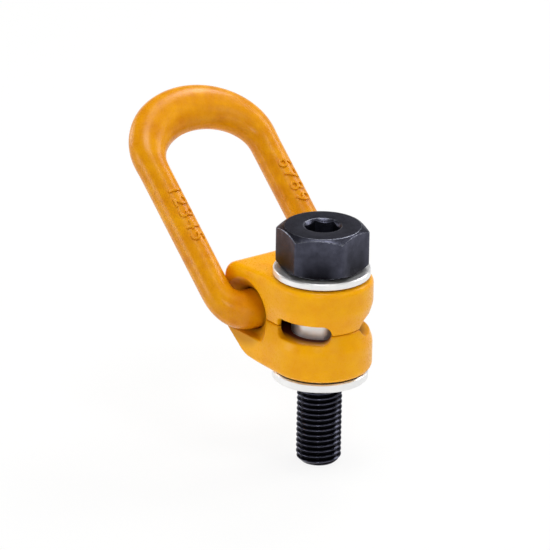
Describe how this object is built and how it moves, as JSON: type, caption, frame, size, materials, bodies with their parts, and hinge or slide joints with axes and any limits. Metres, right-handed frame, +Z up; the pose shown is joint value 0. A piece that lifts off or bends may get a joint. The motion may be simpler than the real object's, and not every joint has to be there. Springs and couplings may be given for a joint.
{
  "type": "swivel hoist ring",
  "caption": "Side-pull lifting point: closed forged link pivoting in a split swivelling body on a flanged bush, held by a hexagon bolt.",
  "frame": {"origin": "centre of the seat, where the bolt's axis meets the underside of the bush's flange", "axes": "+Z up along the bolt away from the load, link pivot along Y on the -X side"},
  "size_m": [0.1365, 0.0752, 0.1414],
  "materials": {
    "zinc_plated_steel": "turned and bright zinc plated",
    "slip_liner": "thin black low-friction washer",
    "painted_body": "golden yellow enamel on a forging",
    "painted_link": "golden yellow enamel on a forging",
    "ground_steel": "ground",
    "phosphated_bolt": "black phosphated and oiled high-tensile steel",
    "spring_steel": "oiled spring steel"
  },
  "bodies": {
    "base": {"flanged_bush": "zinc_plated_steel", "top_washer": "zinc_plated_steel", "upper_slip_washer": "slip_liner", "lower_slip_washer": "slip_liner"},
    "bolt": {"hex_bolt": "phosphated_bolt", "bolt_retaining_ring": "spring_steel"},
    "swivel_body": {"upper_body_half": "painted_body", "lower_body_half": "painted_body", "locating_dowels": "ground_steel"},
    "link": {"lifting_link": "painted_link"}
  },
  "joints": [
    {"name": "bolt_spin", "type": "hinge", "parent": "base", "child": "bolt", "pos_m": [0, 0, 0], "axis": [0, 0, 1], "continuous": true},
    {"name": "body_swivel", "type": "hinge", "parent": "base", "child": "swivel_body", "pos_m": [0, 0, 0.02615], "axis": [0, 0, 1], "continuous": true},
    {"name": "link_pivot", "type": "hinge", "parent": "swivel_body", "child": "link", "pos_m": [-0.028, 0, 0.02615], "axis": [0, 1, 0], "range_deg": [-50.5, 148.5]}
  ]
}
